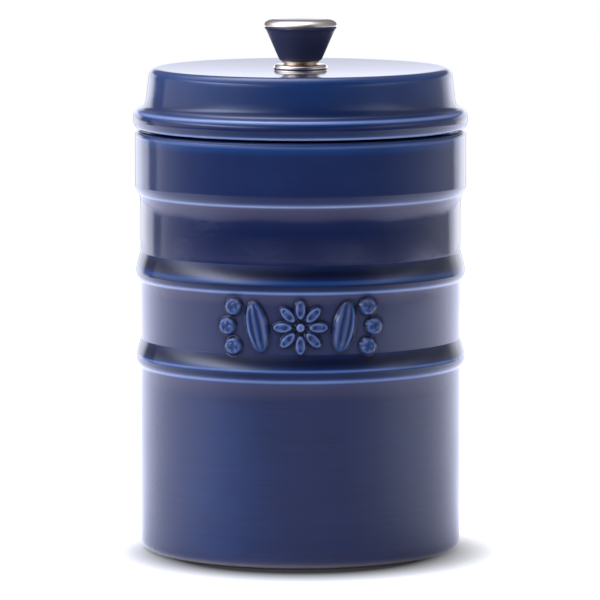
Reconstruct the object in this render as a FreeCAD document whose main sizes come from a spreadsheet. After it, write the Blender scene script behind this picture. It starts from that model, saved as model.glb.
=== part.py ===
# Spice jar: a glazed stoneware canister with a lift-off lid and a metal-capped knob.
# Every piece is turned about +Z. The origin is the middle of the foot, and the relief faces -Y.
import FreeCAD, Part
import math
import os

import Sketcher

# Driving sizes in millimetres, each one a cell of the sheet.
SIZES = {
    # Jar: wall, floor and foot ring
    "body_diameter": 100.0,
    "body_wall": 5.0,
    "jar_height": 131.3,
    "floor_thickness": 6.0,
    "floor_round": 5.0,
    "base_round": 3.0,
    "foot_width": 6.0,
    "foot_recess": 1.2,
    # Jar: the thicker collar round its mouth
    "collar_projection": 1.65,
    "collar_height": 17.6,
    "collar_slope": 2.4,
    "collar_round": 2.5,
    "rim_round": 1.2,
    "mouth_round": 0.8,
    # Jar: two ribs, with the heights of their middles counted down from the rim
    "rib_projection": 1.6,
    "rib_width": 7.0,
    "rib_cove": 2.0,
    "lower_rib_height": 70.1,
    "upper_rib_height": 42.8,
    # Jar: relief of a star anise, two pods and two rows of peppercorns. The star fills the room
    # between the ribs, and the rest keeps its size beside the star.
    "relief_projection": 1.5,
    "relief_margin": 1.65,
    "petal_length": 6.2,
    "petal_width": 3.4,
    "petal_spread": 5.4,
    "star_boss_diameter": 3.0,
    "pod_length": 16.0,
    "pod_width": 7.0,
    "pod_offset": 13.4,
    "berry_diameter": 5.6,
    "berry_offset": 21.0,
    "berry_pitch": 6.1,
    "berry_stagger": 2.0,
    # Lid: bead, crown, seat and spigot
    "lid_height": 19.7,
    "bead_overhang": 0.65,
    "bead_height": 6.7,
    "bead_bulge": 1.7,
    "bead_gap": 0.7,
    "crown_inset": 4.0,
    "crown_lean": 1.2,
    "crown_rise": 0.6,
    "crown_round": 2.5,
    "crown_cove": 2.0,
    "crown_thickness": 5.5,
    "seat_width": 2.6,
    "spigot_depth": 11.0,
    "spigot_wall": 4.0,
    "spigot_clearance": 1.2,
    "spigot_round": 0.8,
    "ceiling_round": 3.0,
    "groove_drop": 2.5,
    "groove_height": 5.5,
    "groove_depth": 1.5,
    # Lid seal: a band with lips
    "seal_clearance": 0.15,
    "lip_root": 1.2,
    "lip_tip": 0.5,
    # Knob: soft washer, polished base, enamelled cone and polished cap
    "base_gasket_diameter": 14.0,
    "base_gasket_thickness": 0.25,
    "base_diameter": 16.5,
    "base_thickness": 1.0,
    "base_edge_bulge": 0.45,
    "neck_diameter": 9.6,
    "cup_diameter": 11.8,
    "cup_height": 1.4,
    "shoulder_diameter": 13.8,
    "shoulder_height": 1.4,
    "shoulder_round": 3.0,
    "cone_diameter": 21.2,
    "cone_height": 9.1,
    "cone_lip_diameter": 22.4,
    "cone_lip_height": 0.6,
    "cap_diameter": 23.5,
    "cap_foot": 0.5,
    "cap_edge": 0.9,
    "cap_dome": 1.0,
    "cap_round": 0.9,
    "cap_spigot_diameter": 9.0,
    "cap_spigot_depth": 1.5,
    "fit_clearance": 0.05,
    # Fastening under the lid: insert, screw and washers
    "insert_diameter": 7.0,
    "insert_spare": 1.5,
    "thread_engagement": 5.5,
    "screw_diameter": 4.0,
    "screw_hole_clearance": 0.4,
    "screw_head_diameter": 8.0,
    "screw_head_height": 2.6,
    "screw_head_round": 0.9,
    "screw_tip_chamfer": 0.6,
    "recess_width": 4.4,
    "recess_slot": 1.0,
    "recess_depth": 1.4,
    "washer_diameter": 12.0,
    "washer_thickness": 1.0,
    "washer_round": 0.25,
    "gasket_diameter": 14.0,
    "gasket_thickness": 1.2,
    # One overrun for every cut
    "cut_overrun": 2.0,
}
PETAL_COUNT = 8
BERRY_ROWS = (-1, 0, 1)
LIP_COUNT = 3
# Sideways run of a pod for each length of its height.
POD_LEAN_SHARE = 0.2
# Places and radii closer than this are one edge.
EDGE_MATCH_SHARE = 1e-6

doc = FreeCAD.newDocument("spice_jar")


class Size:
    """A length that keeps its number together with the sheet formula that it comes from."""

    def __init__(self, number, formula):
        self.number = number
        self.formula = formula

    def joined(self, sign, other, number):
        """A new size from this one, a sign and another size."""
        return Size(number, f"({self.formula} {sign} {other.formula})")

    def __add__(self, other):
        other = as_size(other)
        return self.joined("+", other, self.number + other.number)

    def __sub__(self, other):
        other = as_size(other)
        return self.joined("-", other, self.number - other.number)

    def __mul__(self, other):
        other = as_size(other)
        return self.joined("*", other, self.number * other.number)

    def __truediv__(self, other):
        other = as_size(other)
        return self.joined("/", other, self.number / other.number)

    def __neg__(self):
        return Size(-self.number, f"(0 - {self.formula})")


def as_size(value):
    """A plain count or share as a size with a formula of its own."""
    return value if isinstance(value, Size) else Size(value, str(value))


def fill_sheet():
    """Writes every driving size into the sheet, and gives the sizes by name."""
    sheet = doc.addObject("Spreadsheet::Sheet", "Sizes")
    sizes = {}
    for row, (name, number) in enumerate(SIZES.items(), 1):
        sheet.set(f"A{row}", name)
        sheet.set(f"B{row}", str(number))
        sheet.setAlias(f"B{row}", name)
        sizes[name] = Size(number, f"Sizes.{name}")
    doc.recompute()
    return sizes


size = fill_sheet()
ZERO = Size(0.0, "0")


def new_body(label, height):
    """A body whose own base plane stands at the given height of the jar."""
    body = doc.addObject("PartDesign::Body", label)
    body.Label = label
    body.setExpression("Placement.Base.z", height.formula)
    return body


def arc_radius(chord, bulge):
    """Radius of the arc that swells by the bulge over the chord."""
    return (chord * chord / 4 + bulge * bulge) / (bulge * 2)


def place_corner(sketch, edge, end, axis, place):
    """Ties one coordinate of a corner to the sheet, measured from the sketch's origin."""
    kind = "DistanceX" if axis == 0 else "DistanceY"
    if place.number == 0.0:
        line = -2 if axis == 0 else -1
        sketch.addConstraint(Sketcher.Constraint("PointOnObject", edge, end, line))
        return
    if place.number > 0.0:
        rule = Sketcher.Constraint(kind, -1, 1, edge, end, place.number)
        formula = place.formula
    else:
        rule = Sketcher.Constraint(kind, edge, end, -1, 1, -place.number)
        formula = (-place).formula
    index = sketch.addConstraint(rule)
    sketch.setExpression(f"Constraints[{index}]", formula)


def arc_geometry(start, end, radius):
    """Arc between two points whose middle lies to the right of the way from start to end."""
    chord = end - start
    half = chord.Length / 2
    left = FreeCAD.Vector(-chord.y, chord.x, 0).normalize()
    centre = (start + end) / 2 + left * math.sqrt(radius * radius - half * half)
    first = math.atan2(start.y - centre.y, start.x - centre.x)
    last = math.atan2(end.y - centre.y, end.x - centre.x)
    circle = Part.Circle(centre, FreeCAD.Vector(0, 0, 1), radius)
    return Part.ArcOfCircle(circle, first, last)


def outline(body, plane, corners):
    """A closed sketch through the corners, counter-clockwise. A corner is (across, up), and a third
    size is the radius of an outward arc to the next corner instead of a straight edge."""
    sketch = body.newObject("Sketcher::SketchObject", "Outline")
    origin = body.Origin.OriginFeatures
    sketch.AttachmentSupport = [(next(item for item in origin if item.Role == plane), "")]
    sketch.MapMode = "FlatFace"
    points = [FreeCAD.Vector(corner[0].number, corner[1].number, 0) for corner in corners]
    count = len(corners)
    for index, corner in enumerate(corners):
        start, end = points[index], points[(index + 1) % count]
        if len(corner) == 3:
            sketch.addGeometry(arc_geometry(start, end, corner[2].number), False)
        else:
            sketch.addGeometry(Part.LineSegment(start, end), False)
    for index in range(count):
        sketch.addConstraint(Sketcher.Constraint("Coincident", index, 2, (index + 1) % count, 1))
    for index, corner in enumerate(corners):
        place_corner(sketch, index, 1, 0, corner[0])
        place_corner(sketch, index, 1, 1, corner[1])
        if len(corner) == 3:
            rule = sketch.addConstraint(Sketcher.Constraint("Radius", index, corner[2].number))
            sketch.setExpression(f"Constraints[{rule}]", corner[2].formula)
    return sketch


def turn(body, corners):
    """Turns an outline in the XZ plane into a solid about Z."""
    sketch = outline(body, "XZ_Plane", corners)
    solid = body.newObject("PartDesign::Revolution", "Turned")
    solid.Profile = sketch
    solid.ReferenceAxis = (sketch, ["V_Axis"])
    body.Tip = solid
    doc.recompute()


def check_cut(body, before):
    """Stops the build if the last cut took nothing away."""
    doc.recompute()
    if body.Shape.Volume >= before:
        raise RuntimeError(f"{body.Label}: the cut removed nothing")


def turn_out(body, corners):
    """Cuts a turned hollow out of the body."""
    before = body.Shape.Volume
    sketch = outline(body, "XZ_Plane", corners)
    hollow = body.newObject("PartDesign::Groove", "Hollow")
    hollow.Profile = sketch
    hollow.ReferenceAxis = (sketch, ["V_Axis"])
    body.Tip = hollow
    check_cut(body, before)


def turned_edge(shape, place):
    """Name of the circular edge at a place, which is a radius and a height."""
    radius, height = place[0].number, place[1].number
    near = shape.BoundBox.DiagonalLength * EDGE_MATCH_SHARE
    for number, edge in enumerate(shape.Edges, 1):
        curve = edge.Curve
        if not isinstance(curve, Part.Circle):
            continue
        if abs(curve.Radius - radius) < near and abs(curve.Center.z - height) < near:
            return f"Edge{number}"
    raise RuntimeError(f"no turned edge at {radius}, {height}")


def ease_edges(body, kind, amount, *places):
    """Adds a fillet or chamfer of one amount to the turned edges at the places."""
    base = body.Tip
    eased = body.newObject(f"PartDesign::{kind}", kind)
    eased.Base = (base, [turned_edge(base.Shape, place) for place in places])
    eased.setExpression("Radius" if kind == "Fillet" else "Size", amount.formula)
    body.Tip = eased
    doc.recompute()


# Radii and heights that several pieces share
body_radius = size["body_diameter"] / 2
bore_radius = body_radius - size["body_wall"]
collar_radius = body_radius + size["collar_projection"]
spigot_radius = bore_radius - size["spigot_clearance"]
spigot_bore = spigot_radius - size["spigot_wall"]
groove_radius = spigot_radius - size["groove_depth"]
hole_radius = size["screw_diameter"] / 2 + size["screw_hole_clearance"]
lower_rib = size["jar_height"] - size["lower_rib_height"]
upper_rib = size["jar_height"] - size["upper_rib_height"]
relief_height = (lower_rib + upper_rib) / 2
relief_room = upper_rib - lower_rib - size["rib_width"] - size["relief_margin"] * 2
relief_fit = relief_room / (size["petal_spread"] * 2 + size["petal_length"])
lid_top = size["jar_height"] + size["lid_height"]
ceiling = lid_top - size["crown_thickness"]
base_height = lid_top + size["base_gasket_thickness"]
cone_base = base_height + size["base_thickness"] + size["cup_height"]
cone_rise = size["shoulder_height"] + size["cone_height"] - size["cone_lip_height"]
cap_base = cone_base + cone_rise + size["cone_lip_height"]
insert_length = size["thread_engagement"] + size["insert_spare"]


def add_grain(body, length, width, across, up, lean):
    """One raised grain of the relief: an ellipsoid sunk to its middle in the front of the wall. It
    lies at a length round the wall and a height from the relief's middle, and leans from upright by
    an angle in radians. Its sizes follow the room between the ribs."""
    grain = body.newObject("PartDesign::AdditiveEllipsoid", "Grain")
    grain.setExpression("Radius1", size["relief_projection"].formula)
    grain.setExpression("Radius2", (width * relief_fit / 2).formula)
    grain.setExpression("Radius3", (length * relief_fit / 2).formula)
    radius = body_radius.number
    swing = across * relief_fit.number / radius
    height = relief_height.number + up * relief_fit.number
    spot = FreeCAD.Vector(radius * math.sin(swing), -radius * math.cos(swing), height)
    around = FreeCAD.Rotation(FreeCAD.Vector(0, 0, 1), math.degrees(swing))
    tilt = FreeCAD.Rotation(FreeCAD.Vector(0, 1, 0), math.degrees(lean))
    outward = FreeCAD.Rotation(FreeCAD.Vector(1, 0, 0), 90)
    grain.Placement = FreeCAD.Placement(spot, around * tilt * outward)
    body.Tip = grain


def add_relief(body):
    """The ornament between the ribs: a star in the middle, with a pod and peppercorns each side."""
    spread = size["petal_spread"].number
    for petal in range(PETAL_COUNT):
        angle = math.tau * petal / PETAL_COUNT
        across, up = spread * math.sin(angle), spread * math.cos(angle)
        add_grain(body, size["petal_length"], size["petal_width"], across, up, angle)
    boss = size["star_boss_diameter"]
    add_grain(body, boss, boss, 0, 0, 0)
    berry = size["berry_diameter"]
    for side in (-1, 1):
        offset = side * size["pod_offset"].number
        lean = side * math.atan(POD_LEAN_SHARE)
        add_grain(body, size["pod_length"], size["pod_width"], offset, 0, lean)
        for row in BERRY_ROWS:
            stagger = size["berry_stagger"].number * (1 - abs(row))
            offset = side * (size["berry_offset"].number + stagger)
            add_grain(body, berry, berry, offset, row * size["berry_pitch"].number, 0)
    doc.recompute()


def rib_corners(height):
    """The two corners of a half-round rib, lower one first, with its arc."""
    reach = size["rib_width"] / 2
    swell = arc_radius(size["rib_width"], size["rib_projection"])
    return [(body_radius, height - reach, swell), (body_radius, height + reach)]


def make_jar():
    """The canister: turned outside with ribs and collar, relief on the front, then hollowed."""
    body = new_body("jar_body", ZERO)
    foot_radius = body_radius - size["base_round"] - size["foot_width"]
    lower_corners, upper_corners = rib_corners(lower_rib), rib_corners(upper_rib)
    rim = size["jar_height"]
    collar_foot = rim - size["collar_height"]
    collar_root = (body_radius, collar_foot - size["collar_slope"])
    turn(body, [
        (ZERO, size["foot_recess"]),
        (foot_radius, size["foot_recess"]),
        (foot_radius, ZERO),
        (body_radius, ZERO),
        *lower_corners,
        *upper_corners,
        collar_root,
        (collar_radius, collar_foot),
        (collar_radius, rim),
        (ZERO, rim),
    ])
    ease_edges(body, "Fillet", size["base_round"], (body_radius, ZERO))
    ease_edges(body, "Fillet", size["rib_cove"], *lower_corners, *upper_corners)
    ease_edges(body, "Fillet", size["collar_round"], collar_root, (collar_radius, collar_foot))
    ease_edges(body, "Fillet", size["rim_round"], (collar_radius, rim))
    add_relief(body)
    above_rim = rim + size["cut_overrun"]
    floor = size["floor_thickness"]
    turn_out(body, [(ZERO, floor), (bore_radius, floor), (bore_radius, above_rim), (ZERO, above_rim)])
    ease_edges(body, "Fillet", size["floor_round"], (bore_radius, floor))
    ease_edges(body, "Fillet", size["mouth_round"], (bore_radius, rim))
    return body


def make_lid():
    """The lid: a half-round bead over the jar's rim, a crown, and a grooved spigot in the mouth. Its
    base plane is the seat that rests on the rim."""
    body = new_body("lid_shell", size["jar_height"])
    bead_radius = collar_radius + size["bead_overhang"]
    bead_root = bead_radius - size["bead_bulge"]
    bead_top = size["bead_gap"] + size["bead_height"]
    seat_radius = bore_radius + size["seat_width"]
    crown_foot = (bead_radius - size["crown_inset"], bead_top + size["crown_rise"])
    crown_edge = (crown_foot[0] - size["crown_lean"], size["lid_height"])
    underside = size["lid_height"] - size["crown_thickness"]
    groove_top = -size["groove_drop"]
    groove_foot = groove_top - size["groove_height"]
    spigot_foot = -size["spigot_depth"]
    turn(body, [
        (spigot_bore, spigot_foot),
        (spigot_radius, spigot_foot),
        (spigot_radius, groove_foot),
        (groove_radius, groove_foot),
        (groove_radius, groove_top),
        (spigot_radius, groove_top),
        (spigot_radius, ZERO),
        (seat_radius, ZERO),
        (seat_radius, size["bead_gap"]),
        (bead_root, size["bead_gap"], arc_radius(size["bead_height"], size["bead_bulge"])),
        (bead_root, bead_top),
        crown_foot,
        crown_edge,
        (hole_radius, size["lid_height"]),
        (hole_radius, underside),
        (spigot_bore, underside),
    ])
    ease_edges(body, "Fillet", size["crown_cove"], crown_foot)
    ease_edges(body, "Fillet", size["crown_round"], crown_edge)
    ease_edges(body, "Fillet", size["ceiling_round"], (spigot_bore, underside))
    spigot_edges = [(spigot_bore, spigot_foot), (spigot_radius, spigot_foot)]
    ease_edges(body, "Fillet", size["spigot_round"], *spigot_edges)
    return body


def make_seal():
    """The soft ring in the spigot's groove, with lips that reach to the jar's bore."""
    play = size["seal_clearance"]
    height = size["groove_height"] - play * 2
    body = new_body("lid_seal", size["jar_height"] - size["groove_drop"] - size["groove_height"] + play)
    inner = groove_radius + play
    tip = bore_radius - play
    corners = [(inner, ZERO), (spigot_radius, ZERO)]
    for lip in range(LIP_COUNT):
        middle = height * (2 * lip + 1) / (2 * LIP_COUNT)
        corners += [
            (spigot_radius, middle - size["lip_root"] / 2),
            (tip, middle - size["lip_tip"] / 2),
            (tip, middle + size["lip_tip"] / 2),
            (spigot_radius, middle + size["lip_root"] / 2),
        ]
    corners += [(spigot_radius, height), (inner, height)]
    turn(body, corners)
    return body


def make_ring(label, height, diameter, thickness):
    """A flat washer round the screw."""
    body = new_body(label, height)
    radius = diameter / 2
    turn(body, [
        (hole_radius, ZERO),
        (radius, ZERO),
        (radius, thickness),
        (hole_radius, thickness),
    ])
    return body


def make_washer(height):
    """The steel washer under the screw head, with its outer edges eased."""
    thickness = size["washer_thickness"]
    body = make_ring("screw_washer", height, size["washer_diameter"], thickness)
    radius = size["washer_diameter"] / 2
    ease_edges(body, "Fillet", size["washer_round"], (radius, ZERO), (radius, thickness))
    return body


def make_knob_base():
    """The polished base: a disc with a rounded edge that necks in and flares to carry the cone."""
    body = new_body("knob_base", base_height)
    edge = size["base_diameter"] / 2 - size["base_edge_bulge"]
    thickness = size["base_thickness"]
    top = thickness + size["cup_height"]
    turn(body, [
        (hole_radius, ZERO),
        (edge, ZERO, arc_radius(thickness, size["base_edge_bulge"])),
        (edge, thickness),
        (size["neck_diameter"] / 2, thickness),
        (size["cup_diameter"] / 2, top),
        (hole_radius, top),
    ])
    return body


def make_cone():
    """The enamelled cone, bored for the insert from below and recessed for the cap above."""
    body = new_body("knob_cone", cone_base)
    insert_bore = size["insert_diameter"] / 2 + size["fit_clearance"]
    cap_bore = size["cap_spigot_diameter"] / 2 + size["fit_clearance"]
    top = cone_rise + size["cone_lip_height"]
    cap_floor = top - size["cap_spigot_depth"] - size["fit_clearance"]
    shoulder = (size["shoulder_diameter"] / 2, size["shoulder_height"])
    turn(body, [
        (insert_bore, ZERO),
        (size["cup_diameter"] / 2, ZERO),
        shoulder,
        (size["cone_diameter"] / 2, cone_rise),
        (size["cone_lip_diameter"] / 2, top),
        (cap_bore, top),
        (cap_bore, cap_floor),
        (ZERO, cap_floor),
        (ZERO, insert_length),
        (insert_bore, insert_length),
    ])
    ease_edges(body, "Fillet", size["shoulder_round"], shoulder)
    return body


def make_cap():
    """The polished cap: a low dome that overhangs the cone, with a spigot in its recess."""
    body = new_body("knob_cap", cap_base)
    radius = size["cap_diameter"] / 2
    edge_top = size["cap_foot"] + size["cap_edge"]
    spigot = size["cap_spigot_diameter"] / 2
    turn(body, [
        (ZERO, -size["cap_spigot_depth"]),
        (spigot, -size["cap_spigot_depth"]),
        (spigot, ZERO),
        (size["cone_lip_diameter"] / 2, ZERO),
        (radius, size["cap_foot"]),
        (radius, edge_top, arc_radius(radius * 2, size["cap_dome"])),
        (ZERO, edge_top + size["cap_dome"]),
    ])
    ease_edges(body, "Fillet", size["cap_round"], (radius, edge_top))
    return body


def make_insert():
    """The threaded sleeve inside the cone that takes the screw."""
    body = new_body("knob_insert", cone_base)
    bore = size["screw_diameter"] / 2 + size["fit_clearance"]
    radius = size["insert_diameter"] / 2
    turn(body, [(bore, ZERO), (radius, ZERO), (radius, insert_length), (bore, insert_length)])
    return body


def cross_corners():
    """Corners of the driver recess, a cross centred on the screw."""
    reach, slot = size["recess_width"] / 2, size["recess_slot"] / 2
    return [
        (-slot, -reach), (slot, -reach), (slot, -slot),
        (reach, -slot), (reach, slot), (slot, slot),
        (slot, reach), (-slot, reach), (-slot, slot),
        (-reach, slot), (-reach, -slot), (-slot, -slot),
    ]


def make_screw(height):
    """The screw that clamps the knob from under the lid. Its base plane is the face of its head."""
    body = new_body("knob_screw", height)
    head_radius, head = size["screw_head_diameter"] / 2, size["screw_head_height"]
    shank = size["screw_diameter"] / 2
    end = cone_base + size["thread_engagement"] - height
    turn(body, [
        (ZERO, ZERO),
        (head_radius, ZERO),
        (head_radius, head),
        (shank, head),
        (shank, end),
        (ZERO, end),
    ])
    ease_edges(body, "Fillet", size["screw_head_round"], (head_radius, ZERO))
    ease_edges(body, "Chamfer", size["screw_tip_chamfer"], (shank, end))
    before = body.Shape.Volume
    recess = body.newObject("PartDesign::Pocket", "DriverRecess")
    recess.Profile = outline(body, "XY_Plane", cross_corners())
    recess.Reversed = True
    recess.setExpression("Length", size["recess_depth"].formula)
    body.Tip = recess
    check_cut(body, before)
    return body


gasket_base = ceiling - size["gasket_thickness"]
washer_base = gasket_base - size["washer_thickness"]
pieces = [
    make_jar(),
    make_lid(),
    make_seal(),
    make_ring("base_gasket", lid_top, size["base_gasket_diameter"], size["base_gasket_thickness"]),
    make_knob_base(),
    make_cone(),
    make_cap(),
    make_insert(),
    make_ring("screw_gasket", gasket_base, size["gasket_diameter"], size["gasket_thickness"]),
    make_washer(washer_base),
    make_screw(washer_base - size["screw_head_height"]),
]

doc.recompute()
failed = [item.Label for item in doc.Objects if {"Invalid", "Error"} & set(item.State)]
if failed:
    raise RuntimeError(f"failed objects: {failed}")
for piece in pieces:
    if piece.Shape.isNull() or not piece.Shape.isValid() or len(piece.Shape.Solids) != 1:
        raise RuntimeError(f"{piece.Label} is not one sound solid")

os.makedirs("parts", exist_ok=True)
for piece in pieces:
    piece.Shape.exportStep(f"parts/{piece.Label}.step")
    box = piece.Shape.BoundBox
    print(f"{piece.Label}: {piece.Shape.Volume:.1f} mm3, z {box.ZMin:.2f} to {box.ZMax:.2f}")
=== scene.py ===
# %% [markdown]
# # A glazed spice jar with a lift-off lid
# The real jar is slip-cast stoneware under a dark blue glaze, with a metal knob screwed to its lid.
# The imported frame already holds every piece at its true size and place. This lesson puts a finished
# surface in place of each but the hidden insert, which keeps its mesh and only gets its brass. So it
# starts from that frame and never moves it.

import bpy
import numpy as np
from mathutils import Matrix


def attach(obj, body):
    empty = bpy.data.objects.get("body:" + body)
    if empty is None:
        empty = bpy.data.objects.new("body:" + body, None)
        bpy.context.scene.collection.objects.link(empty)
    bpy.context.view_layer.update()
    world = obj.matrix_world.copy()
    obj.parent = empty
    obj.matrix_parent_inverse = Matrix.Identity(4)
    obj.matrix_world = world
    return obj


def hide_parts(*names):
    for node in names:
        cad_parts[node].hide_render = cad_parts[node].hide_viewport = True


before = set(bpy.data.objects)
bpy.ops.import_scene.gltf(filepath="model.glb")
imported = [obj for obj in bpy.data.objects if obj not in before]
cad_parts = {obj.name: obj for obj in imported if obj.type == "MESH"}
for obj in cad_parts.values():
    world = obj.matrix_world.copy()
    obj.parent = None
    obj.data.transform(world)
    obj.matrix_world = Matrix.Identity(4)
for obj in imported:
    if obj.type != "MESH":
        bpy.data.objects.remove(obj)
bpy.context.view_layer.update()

scene = bpy.context.scene
scene.view_settings.view_transform = "Standard"
print("nodes:", ", ".join(sorted(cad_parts)))

# %% [markdown]
# ## The camera
# The rings of the jar look like ellipses in the picture, and how round they are tells how high the
# lens was. A camera fitted to five of those rings stands 1.8 m away with a long lens, so it is placed
# by those numbers. Aiming it by eye would also work, but every edge would then be a few pixels off.

# %% Camera
CAMERA_PLACE = (-0.00016, -1.8152, 0.2785)
CAMERA_TILT = np.radians(90 - 6.309)
SENSOR_WIDTH = 36.0
IMAGE_WIDTH = 600
FOCAL_PIXELS = 5830

lens = bpy.data.cameras.new("camera")
lens.sensor_width = SENSOR_WIDTH
lens.lens = FOCAL_PIXELS * SENSOR_WIDTH / IMAGE_WIDTH
camera = bpy.data.objects.new("camera", lens)
camera.location = CAMERA_PLACE
camera.rotation_euler = (CAMERA_TILT, 0, 0)
scene.collection.objects.link(camera)
scene.camera = camera
print(f"lens {lens.lens:.1f} mm")

# %% [markdown]
# ## Outlines
# Nearly every piece was turned or cast round one axis, so each is an outline swung round Z. An outline
# is a list of corners in millimetres, with a radius for each rounded corner. Blender's Spin tool and
# Bevel could do the same by hand; arrays are used because the glaze needs to know how much each spot
# of the outline stands out.

# %% Lines from corners
MM = 0.001
ARC_POINTS = 32
LINE_STEP = 0.05
BELL_REACH = 3


def unit(vectors):
    """Each vector divided by its length."""
    return vectors / np.linalg.norm(vectors, axis=-1, keepdims=True)


def round_corners(corners, closed=False):
    """Line through corners of (radius, height, round). A rounded corner becomes an arc. Its centre is
    on the corner's bisector at round over the sine of half the angle, and its points turn evenly from
    the end of one edge to the start of the next."""
    points = np.array([corner[:2] for corner in corners], float)
    before = unit(np.roll(points, 1, axis=0) - points)
    after = unit(np.roll(points, -1, axis=0) - points)
    half = np.arccos(np.clip((before * after).sum(axis=1), -1, 1)) / 2
    share = np.linspace(0, 1, ARC_POINTS)[:, None]
    runs = []
    for index, corner in enumerate(corners):
        if len(corner) < 3:
            runs.append(points[index:index + 1])
            continue
        centre = unit(before[index] + after[index]) * corner[2] / np.sin(half[index])
        start = before[index] * corner[2] / np.tan(half[index]) - centre
        end = after[index] * corner[2] / np.tan(half[index]) - centre
        turn = np.pi - 2 * half[index]
        arc = np.sin((1 - share) * turn) * start + np.sin(share * turn) * end
        runs.append(points[index] + centre + arc / np.sin(turn))
    line = np.concatenate(runs)
    return np.concatenate([line, line[:1]]) if closed else line


def even_line(line):
    """The same line with its points one small step apart."""
    steps = np.linalg.norm(np.diff(line, axis=0), axis=1)
    length = np.concatenate([[0], np.cumsum(steps)])
    place = np.linspace(0, length[-1], int(length[-1] / LINE_STEP) + 1)
    return np.column_stack([np.interp(place, length, line[:, k]) for k in (0, 1)])


def blur(line, width, closed=False):
    """Each point becomes the mean of its neighbours along the line, weighted by a bell curve. The ends
    of an open line stay, because the line is turned about them to fill the missing neighbours."""
    reach = int(BELL_REACH * width / LINE_STEP)
    weights = np.exp(-0.5 * (np.arange(-reach, reach + 1) * LINE_STEP / width) ** 2)
    weights /= weights.sum()
    if closed:
        ring = np.pad(line[:-1], ((reach, reach), (0, 0)), mode="wrap")
    else:
        ring = np.pad(line, ((reach, reach), (0, 0)), mode="reflect", reflect_type="odd")
    soft = np.column_stack([np.convolve(ring[:, k], weights, "valid") for k in (0, 1)])
    return np.concatenate([soft, soft[:1]]) if closed else soft


print("outline tools ready")

# %% [markdown]
# ## From a line to a skin
# A mesh needs rows close together where the line bends and few where it runs straight. The rows are
# then swung round the axis, and each cell of the grid becomes a face. The angle is counted from the
# front, which is -Y, so that the ornament can be placed by its distance round the wall.

# %% Rows, turning and faces
ROW_TURN = 0.11
ROW_BLEND = 0.8


def pick_rows(line, fine, coarse, dense=None):
    """Places of the mesh rows on a line. The wanted gap is the bend's radius times a small turn, kept
    between fine and coarse, and a row stands where the sum of step over gap passes a whole number.
    Dense is (lowest, highest, radius, gap) of a band that needs its own gap."""
    tangent = unit(np.gradient(line, axis=0))
    bend = np.linalg.norm(np.gradient(tangent, axis=0), axis=1) / LINE_STEP
    density = np.clip(bend / ROW_TURN, 1 / coarse, 1 / fine)
    if dense:
        low, high, radius, gap = dense
        inside = (line[:, 1] > low) & (line[:, 1] < high) & (line[:, 0] > radius)
        density = np.where(inside, np.maximum(density, 1 / gap), density)
    density = blur(np.column_stack([density, density]), ROW_BLEND)[:, 0]
    total = np.concatenate([[0], np.cumsum((density[1:] + density[:-1]) / 2 * LINE_STEP)])
    return np.interp(np.linspace(0, total[-1], int(total[-1]) + 2), total, np.arange(len(line)))


def at_rows(values, rows):
    """Values of a line, or of its columns, at the places of the rows."""
    index = np.arange(len(values))
    if values.ndim == 1:
        return np.interp(rows, index, values)
    return np.column_stack([np.interp(rows, index, column) for column in values.T])


def even_angles(count):
    """Angles of a full turn, evenly spread."""
    return np.arange(count) * (2 * np.pi / count)


def turned(radius, height, angle):
    """Points of a turned surface in metres: radius times the sine and minus the cosine of the angle
    from the front, and the height. Arrays of rows and columns are matched up."""
    radius, height, angle = np.broadcast_arrays(radius, height, angle)
    return np.stack([radius * np.sin(angle), -radius * np.cos(angle), height], axis=-1) * MM


def grid_faces(rows, columns, loop):
    """Corner numbers of the cells of a grid whose columns close into a ring. With loop, the rows close
    as well."""
    row = np.arange(rows if loop else rows - 1)[:, None]
    column = np.arange(columns)[None, :]
    above, beside = (row + 1) % rows, (column + 1) % columns
    corners = [(row, column), (row, beside), (above, beside), (above, column)]
    return np.stack([r * columns + c for r, c in corners], axis=-1).reshape(-1, 4)


def skin(name, grid, loop=False, **marks):
    """Object over a grid of points. Rows that lie on the axis become one point, so that the poles are
    closed. Marks are values for each point, which the materials read by name."""
    rows, columns = grid.shape[:2]
    points = grid.reshape(-1, 3)
    faces = grid_faces(rows, columns, loop)
    kept = np.arange(rows * columns)
    if not loop:
        kept[:columns] = 0
        kept[-columns:] = (rows - 1) * columns
    used, number = np.unique(kept, return_inverse=True)
    faces = number[faces]
    first = faces[:columns][:, [0, 2, 3]] if not loop else faces[:0, :3]
    last = faces[-columns:][:, [0, 1, 2]] if not loop else faces[:0, :3]
    middle = faces if loop else faces[columns:-columns]
    mesh = bpy.data.meshes.new(name)
    mesh.from_pydata(points[used].tolist(), [], first.tolist() + middle.tolist() + last.tolist())
    mesh.shade_smooth()
    for mark, values in marks.items():
        column = mesh.attributes.new(mark, "FLOAT", "POINT")
        spread = np.broadcast_to(values, (rows, columns)).reshape(-1)[used]
        column.data.foreach_set("value", np.ascontiguousarray(spread, np.float32))
    piece = bpy.data.objects.new(name, mesh)
    scene.collection.objects.link(piece)
    print(f"{name}: {len(mesh.vertices)} points, {len(mesh.polygons)} faces")
    return piece


# %% [markdown]
# ## How the glaze lies
# A melted glaze runs off edges and gathers in hollows, so it is pale where it thins and nearly black where
# it is deep. On the jar that shows as pale lines along the rim, under the collar and on the ribs, and as
# dark hollows above them. These lines also carry painted light: the pale ones are also painted highlights
# and reflections on the rim, the bead, the collar's underside and the coves of the ribs, and the dark ones
# on the rib slopes are partly painted shade. Each such line is a bell curve over the height, and their sum
# is kept as a mark for the material, next to a middle value for the plain wall. Painting the lines by hand
# would give the same, but numbers can be moved by a tenth of a millimetre. The melt also sags a little,
# which gives the slow waves in the reflections.

# %% Glaze marks
PLAIN_GLAZE = 0.40
WAVE_HEIGHT = 0.022
WAVE_TURNS = np.array([3, 5, 8, 11, 2])
WAVE_RISES = np.array([0.21, 0.13, 0.05, 0.27, 0.34])
WAVE_STARTS = np.array([0.4, 2.1, 4.4, 1.3, 5.2])


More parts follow.
